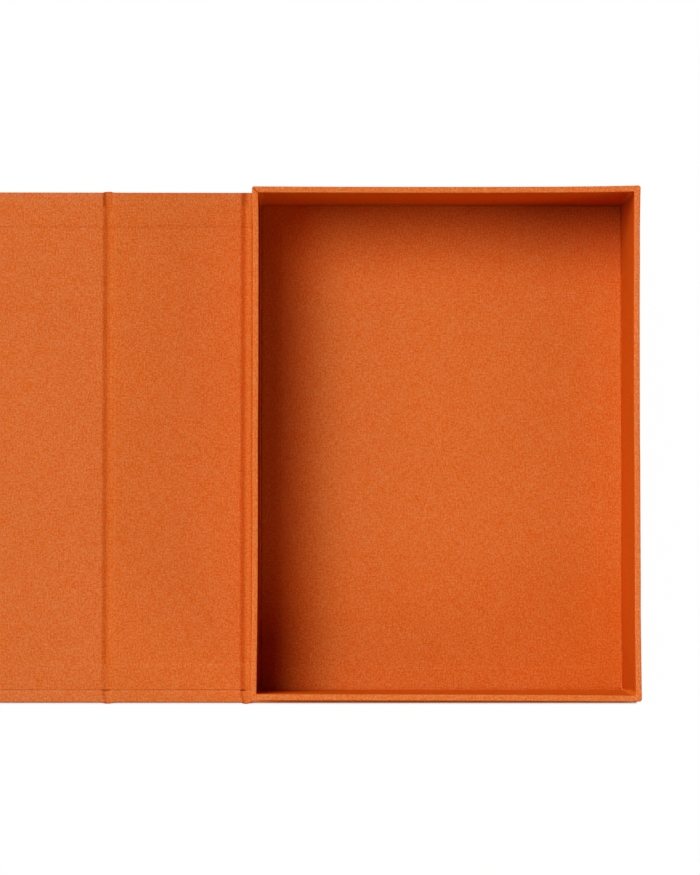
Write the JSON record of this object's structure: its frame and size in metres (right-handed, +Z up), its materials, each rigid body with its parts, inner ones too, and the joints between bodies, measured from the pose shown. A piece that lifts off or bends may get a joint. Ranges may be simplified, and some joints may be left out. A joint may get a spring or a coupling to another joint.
{
  "type": "clamshell book box",
  "caption": "Cloth-covered storage box for papers: one deep open tray fixed in a case whose hinged spine and front cover fold over it.",
  "frame": {"origin": "on the underside of the back board, below the middle of the tray, with the box open and flat", "axes": "+Z up out of the tray, +X from the spine to the fore edge of the tray, +Y from the tail to the head"},
  "size_m": [0.6208, 0.344, 0.087],
  "materials": {
    "bookcloth": "matt woven bookcloth, orange",
    "lining_cloth": "the same matt woven bookcloth, used as lining",
    "greyboard": "raw grey binder's board"
  },
  "bodies": {
    "tray_and_back": {"back_board": "greyboard", "back_cover_cloth": "bookcloth", "back_lining": "lining_cloth", "tray_floor_board": "greyboard", "head_wall_board": "greyboard", "tail_wall_board": "greyboard", "spine_wall_board": "greyboard", "fore_edge_wall_board": "greyboard", "tray_wrap_cloth": "bookcloth", "tray_floor_lining": "lining_cloth", "spine_joint_cloth": "bookcloth", "spine_joint_lining": "lining_cloth"},
    "spine": {"spine_board": "greyboard", "spine_cover_cloth": "bookcloth", "spine_lining": "lining_cloth", "cover_joint_cloth": "bookcloth", "cover_joint_lining": "lining_cloth"},
    "front_cover": {"front_board": "greyboard", "front_cover_cloth": "bookcloth", "front_lining": "lining_cloth"}
  },
  "joints": [
    {"name": "spine_hinge", "type": "hinge", "parent": "tray_and_back", "child": "spine", "pos_m": [-0.1335, 0, 0.0005], "axis": [0, 1, 0], "range_deg": [0, 90], "deforming": ["spine_joint_cloth", "spine_joint_lining"]},
    {"name": "cover_hinge", "type": "hinge", "parent": "spine", "child": "front_cover", "pos_m": [-0.2243, 0, 0.0005], "axis": [0, 1, 0], "range_deg": [0, 90], "deforming": ["cover_joint_cloth", "cover_joint_lining"]}
  ]
}
